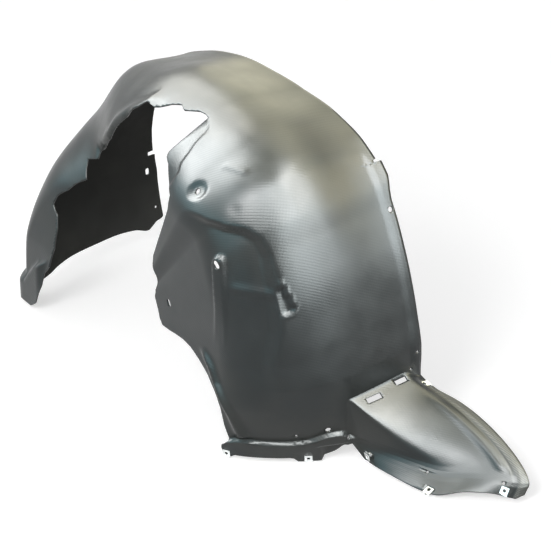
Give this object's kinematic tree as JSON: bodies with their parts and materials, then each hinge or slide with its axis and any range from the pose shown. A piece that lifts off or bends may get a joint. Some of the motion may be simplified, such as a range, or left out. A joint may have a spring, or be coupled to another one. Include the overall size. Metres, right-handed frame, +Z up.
{
  "type": "wheel arch liner",
  "caption": "Front wheel arch liner for a car's left side: a thin moulded black shell with an inboard wall, a strut cut-out, a lower flange and a forward wing with clip nuts.",
  "frame": {"origin": "bottom centre of the part's box, upright as on the car", "axes": "+X to the front of the car, +Y outboard to the fender, +Z up; the wheel's axle runs along Y through (-0.116, y, 0.141)"},
  "size_m": [0.9225, 0.2972, 0.4594],
  "materials": {
    "liner_plastic": "satin, fine emboss",
    "clip_metal": "bright zinc"
  },
  "bodies": {
    "root": {"liner": "liner_plastic", "clip_nuts": "clip_metal"}
  },
  "joints": []
}
